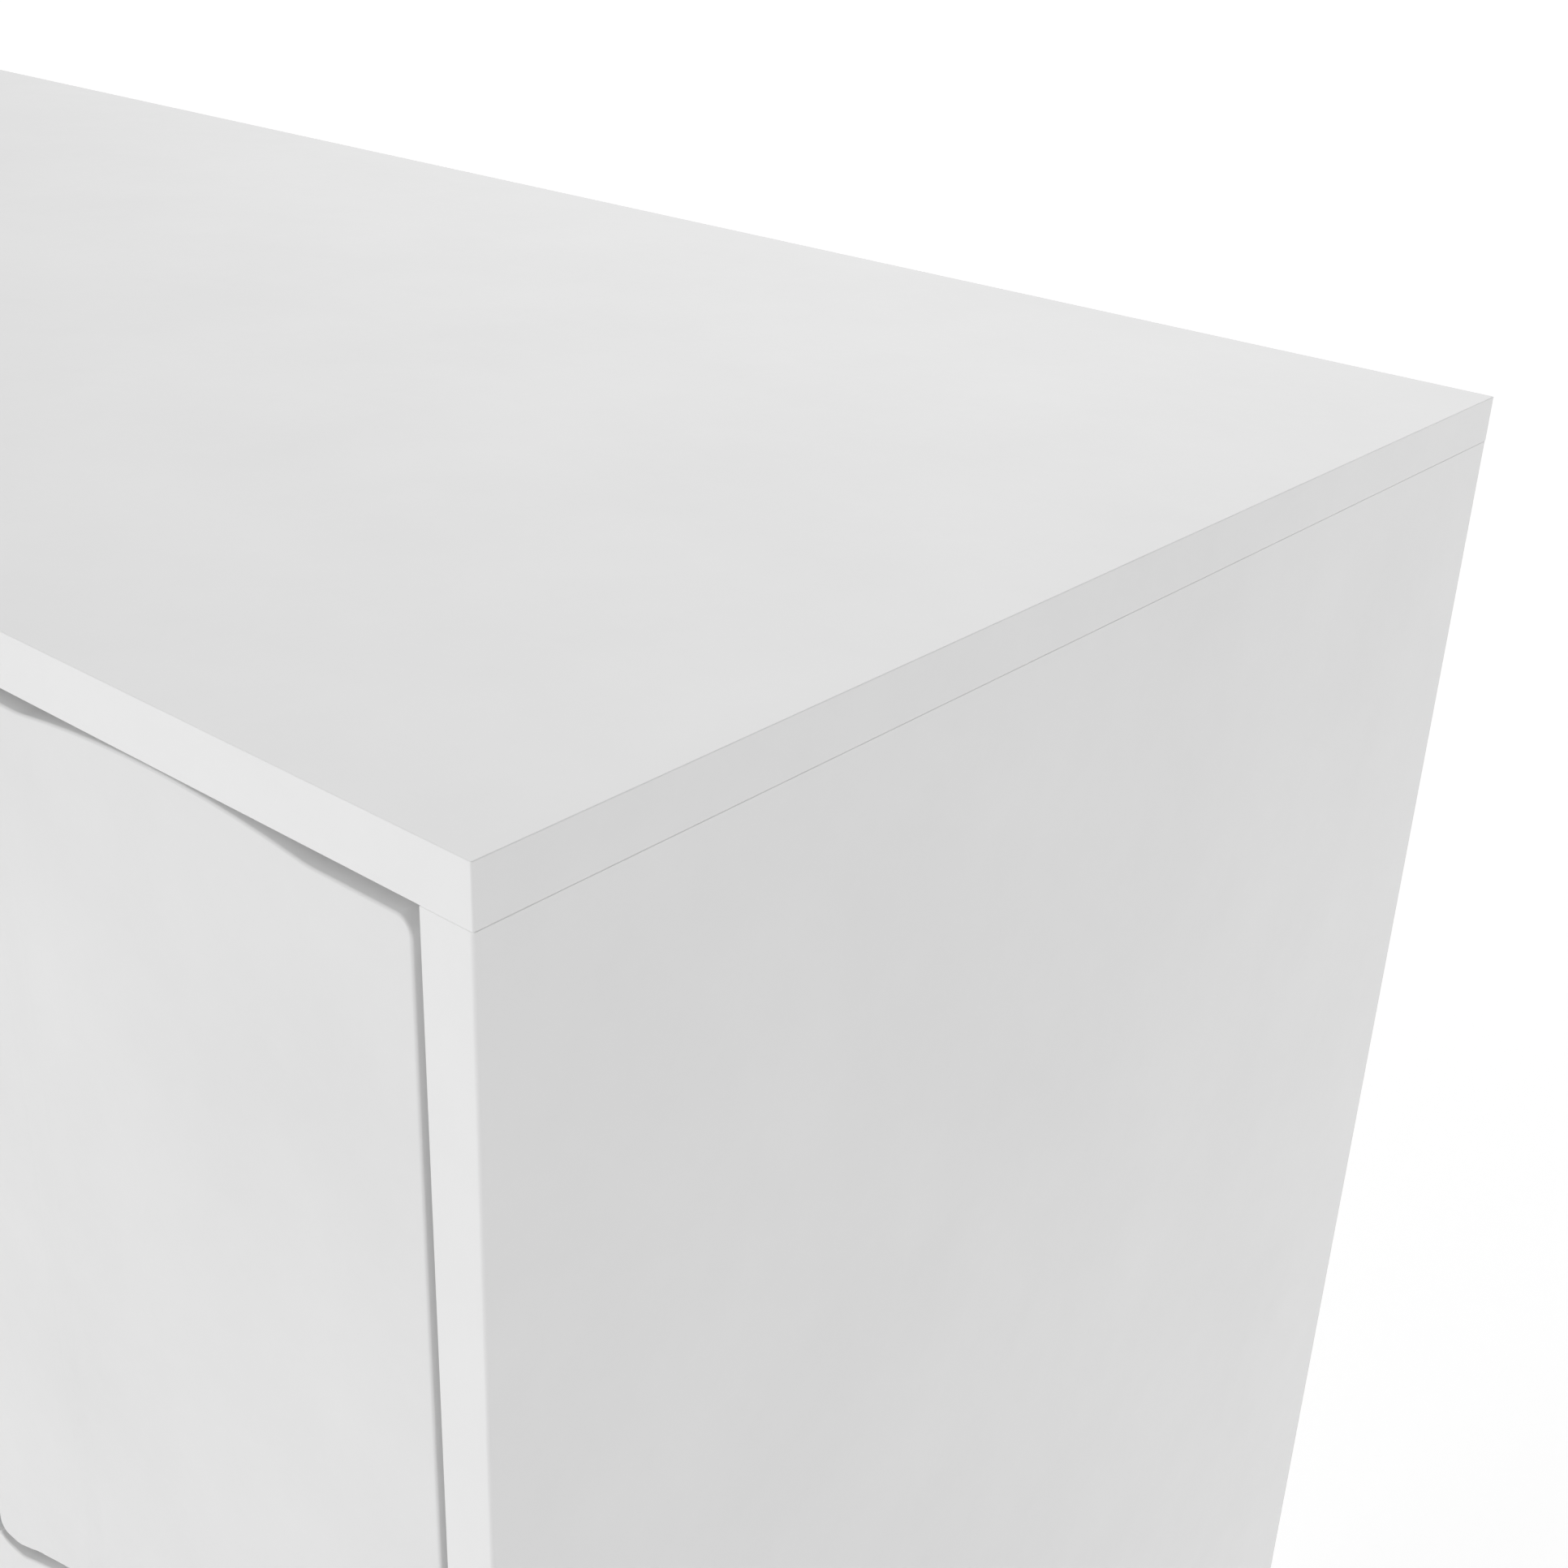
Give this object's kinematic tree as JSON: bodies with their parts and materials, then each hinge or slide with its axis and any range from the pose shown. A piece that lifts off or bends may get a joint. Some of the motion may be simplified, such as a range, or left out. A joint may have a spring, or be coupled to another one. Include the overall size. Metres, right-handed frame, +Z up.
{
  "type": "tv stand",
  "caption": "Low white gloss TV stand: hinged door pairs with arched lower edges over wavy-topped drawers, open centre bay with shelf, levelling feet.",
  "frame": {"origin": "middle of the footprint, on the floor under the feet", "axes": "+X to the right along the width, +Y to the back, +Z up; the doors face -Y"},
  "size_m": [1.4, 0.45, 0.56],
  "materials": {
    "white_lacquer": "white gloss lacquer on fibreboard",
    "white_melamine": "satin white melamine on chipboard",
    "white_hardboard": "white painted hardboard",
    "drawer_board": "satin white foil on chipboard",
    "beech_dowel": "bare fluted beech",
    "nickel_steel": "nickel-plated pressed steel",
    "zinc_steel": "bright zinc-plated steel",
    "zinc_alloy": "dull die-cast zinc alloy",
    "foot_plastic": "fine-textured dark grey",
    "latch_plastic": "moulded light grey",
    "white_plastic": "moulded white"
  },
  "bodies": {
    "cabinet": {"top_panel": "white_lacquer", "left_side_panel": "white_lacquer", "right_side_panel": "white_lacquer", "left_divider": "white_lacquer", "right_divider": "white_lacquer", "base_panel": "white_lacquer", "back_panel": "white_hardboard", "left_cabinet_floor": "white_melamine", "right_cabinet_floor": "white_melamine", "center_shelf": "white_lacquer", "left_adjustable_shelf": "white_melamine", "right_adjustable_shelf": "white_melamine", "shelf_pins": "nickel_steel", "cable_grommets": "white_plastic", "feet": "foot_plastic", "foot_plates": "zinc_steel", "cam_locks": "zinc_alloy", "cam_bolts": "zinc_steel", "wood_dowels": "beech_dowel", "hinge_plates": "nickel_steel", "hinge_arms": "nickel_steel", "hinge_plate_screws": "zinc_steel", "latch_housings": "latch_plastic", "left_drawer_cabinet_rails": "zinc_steel", "right_drawer_cabinet_rails": "zinc_steel"},
    "right_outer_door": {"right_outer_door_panel": "white_lacquer", "right_outer_door_hinge_cups": "nickel_steel", "right_outer_door_hinge_pins": "nickel_steel", "right_outer_door_cup_screws": "zinc_steel"},
    "right_outer_door_plunger": {"right_outer_door_latch_plunger": "latch_plastic"},
    "right_inner_door": {"right_inner_door_panel": "white_lacquer", "right_inner_door_hinge_cups": "nickel_steel", "right_inner_door_hinge_pins": "nickel_steel", "right_inner_door_cup_screws": "zinc_steel"},
    "right_inner_door_plunger": {"right_inner_door_latch_plunger": "latch_plastic"},
    "left_inner_door": {"left_inner_door_panel": "white_lacquer", "left_inner_door_hinge_cups": "nickel_steel", "left_inner_door_hinge_pins": "nickel_steel", "left_inner_door_cup_screws": "zinc_steel"},
    "left_inner_door_plunger": {"left_inner_door_latch_plunger": "latch_plastic"},
    "left_outer_door": {"left_outer_door_panel": "white_lacquer", "left_outer_door_hinge_cups": "nickel_steel", "left_outer_door_hinge_pins": "nickel_steel", "left_outer_door_cup_screws": "zinc_steel"},
    "left_outer_door_plunger": {"left_outer_door_latch_plunger": "latch_plastic"},
    "right_drawer": {"right_drawer_front": "white_lacquer", "right_drawer_outer_side": "drawer_board", "right_drawer_inner_side": "drawer_board", "right_drawer_back": "drawer_board", "right_drawer_bottom": "white_hardboard", "right_drawer_rails": "zinc_steel"},
    "right_drawer_ball_cages": {"right_drawer_ball_cages": "nickel_steel"},
    "left_drawer": {"left_drawer_front": "white_lacquer", "left_drawer_outer_side": "drawer_board", "left_drawer_inner_side": "drawer_board", "left_drawer_back": "drawer_board", "left_drawer_bottom": "white_hardboard", "left_drawer_rails": "zinc_steel"},
    "left_drawer_ball_cages": {"left_drawer_ball_cages": "nickel_steel"}
  },
  "joints": [
    {"name": "right_outer_door_hinge", "type": "hinge", "parent": "cabinet", "child": "right_outer_door", "pos_m": [0.66825, -0.216, 0.3909], "axis": [0, 0, 1], "range_deg": [0, 95]},
    {"name": "right_outer_door_plunger_slide", "type": "slide", "parent": "cabinet", "child": "right_outer_door_plunger", "axis": [0, 1, 0], "range_m": [0, 0.003], "stiffness_N_per_m": 400, "springref_m": -0.002},
    {"name": "right_inner_door_hinge", "type": "hinge", "parent": "cabinet", "child": "right_inner_door", "pos_m": [0.27695, -0.216, 0.3909], "axis": [0, 0, -1], "range_deg": [0, 95]},
    {"name": "right_inner_door_plunger_slide", "type": "slide", "parent": "cabinet", "child": "right_inner_door_plunger", "axis": [0, 1, 0], "range_m": [0, 0.003], "stiffness_N_per_m": 400, "springref_m": -0.002},
    {"name": "left_inner_door_hinge", "type": "hinge", "parent": "cabinet", "child": "left_inner_door", "pos_m": [-0.27695, -0.216, 0.3909], "axis": [0, 0, 1], "range_deg": [0, 95]},
    {"name": "left_inner_door_plunger_slide", "type": "slide", "parent": "cabinet", "child": "left_inner_door_plunger", "axis": [0, 1, 0], "range_m": [0, 0.003], "stiffness_N_per_m": 400, "springref_m": -0.002},
    {"name": "left_outer_door_hinge", "type": "hinge", "parent": "cabinet", "child": "left_outer_door", "pos_m": [-0.66825, -0.216, 0.3909], "axis": [0, 0, -1], "range_deg": [0, 95]},
    {"name": "left_outer_door_plunger_slide", "type": "slide", "parent": "cabinet", "child": "left_outer_door_plunger", "axis": [0, 1, 0], "range_m": [0, 0.003], "stiffness_N_per_m": 400, "springref_m": -0.002},
    {"name": "right_drawer_slide", "type": "slide", "parent": "cabinet", "child": "right_drawer", "axis": [0, -1, 0], "range_m": [0, 0.26]},
    {"name": "right_drawer_ball_cage_slide", "type": "slide", "parent": "cabinet", "child": "right_drawer_ball_cages", "axis": [0, -1, 0], "range_m": [0, 0.13]},
    {"name": "left_drawer_slide", "type": "slide", "parent": "cabinet", "child": "left_drawer", "axis": [0, -1, 0], "range_m": [0, 0.26]},
    {"name": "left_drawer_ball_cage_slide", "type": "slide", "parent": "cabinet", "child": "left_drawer_ball_cages", "axis": [0, -1, 0], "range_m": [0, 0.13]}
  ],
  "couplings": [
    {"joint": "right_drawer_ball_cage_slide", "follows": "right_drawer_slide", "ratio": 0.5},
    {"joint": "left_drawer_ball_cage_slide", "follows": "left_drawer_slide", "ratio": 0.5}
  ]
}
